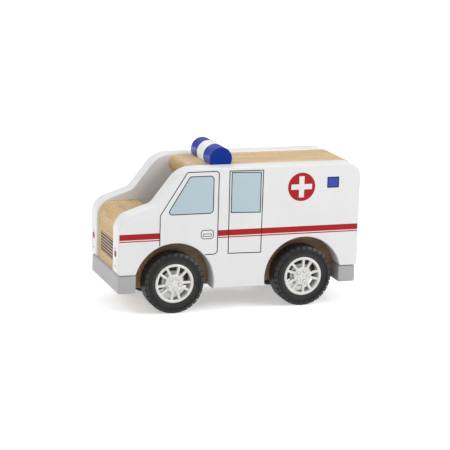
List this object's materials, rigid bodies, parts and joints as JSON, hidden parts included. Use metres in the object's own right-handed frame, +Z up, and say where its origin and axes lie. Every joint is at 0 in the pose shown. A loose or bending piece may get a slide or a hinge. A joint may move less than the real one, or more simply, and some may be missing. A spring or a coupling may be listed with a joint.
{
  "type": "toy ambulance",
  "caption": "Wooden toy ambulance with painted side panels on beech blocks, an open cab, grey bumpers and a roof light, rolling freely on its axles.",
  "frame": {"origin": "on the ground, below the middle of the body", "axes": "+X forward to the nose, +Y to the vehicle's left, +Z up"},
  "size_m": [0.149, 0.0602, 0.0956],
  "materials": {
    "beech_long_grain": "sanded and clear lacquered, grain along the vehicle",
    "beech_cross_grain": "sanded and clear lacquered, grain across the vehicle",
    "dowel_beech": "turned, unfinished",
    "white_paint": "satin white paint with printed markings",
    "grey_paint": "satin grey paint",
    "blue_paint": "gloss blue paint with a white band",
    "axle_steel": "drawn steel rod",
    "rim_plastic": "moulded, pale satin",
    "tyre_rubber": "moulded, matt"
  },
  "bodies": {
    "body": {"chassis_block": "beech_long_grain", "nose_block": "beech_cross_grain", "roof_slab": "beech_long_grain", "rear_wall": "beech_cross_grain", "left_side_panel": "white_paint", "right_side_panel": "white_paint", "front_bumper": "grey_paint", "rear_bumper": "grey_paint", "light_bar": "blue_paint", "left_panel_dowels": "dowel_beech", "right_panel_dowels": "dowel_beech", "nose_dowels": "dowel_beech", "rear_wall_dowels": "dowel_beech", "front_bumper_dowels": "dowel_beech", "rear_bumper_dowels": "dowel_beech", "light_bar_dowels": "dowel_beech"},
    "front_wheelset": {"front_axle": "axle_steel", "front_left_rim": "rim_plastic", "front_right_rim": "rim_plastic", "front_left_tyre": "tyre_rubber", "front_right_tyre": "tyre_rubber"},
    "rear_wheelset": {"rear_axle": "axle_steel", "rear_left_rim": "rim_plastic", "rear_right_rim": "rim_plastic", "rear_left_tyre": "tyre_rubber", "rear_right_tyre": "tyre_rubber"}
  },
  "joints": [
    {"name": "front_axle_spin", "type": "hinge", "parent": "body", "child": "front_wheelset", "pos_m": [0.0399, 0, 0.018], "axis": [0, 1, 0], "continuous": true},
    {"name": "rear_axle_spin", "type": "hinge", "parent": "body", "child": "rear_wheelset", "pos_m": [-0.0401, 0, 0.018], "axis": [0, 1, 0], "continuous": true}
  ]
}
